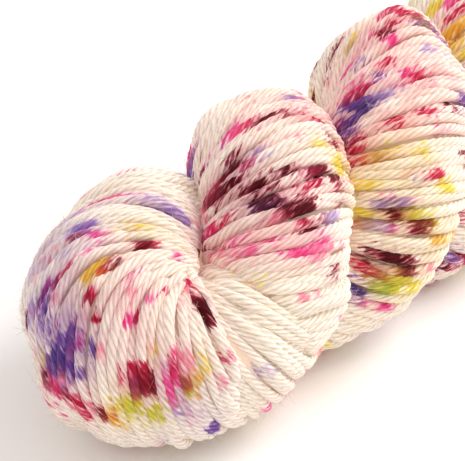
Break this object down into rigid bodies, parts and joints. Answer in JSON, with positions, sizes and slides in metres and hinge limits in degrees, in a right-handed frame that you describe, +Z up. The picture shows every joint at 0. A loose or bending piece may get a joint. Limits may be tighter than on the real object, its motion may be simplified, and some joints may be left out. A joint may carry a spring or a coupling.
{
  "type": "skein of yarn",
  "caption": "Skein of hand-dyed wool: a hank of yarn twisted on itself and folded back into a two-strand rope with a rounded fold at each end.",
  "frame": {"origin": "centre of the bounding box's underside, on the table", "axes": "+X along the skein, from the broad fold to the other end; +Z up from the table"},
  "size_m": [0.299, 0.0804, 0.0792],
  "materials": {
    "wool": "matt, slightly hairy wool, natural cream with speckles of pink, crimson, burgundy, purple, lime yellow and gold"
  },
  "bodies": {
    "root": {"yarn_skein": "wool"}
  },
  "joints": []
}
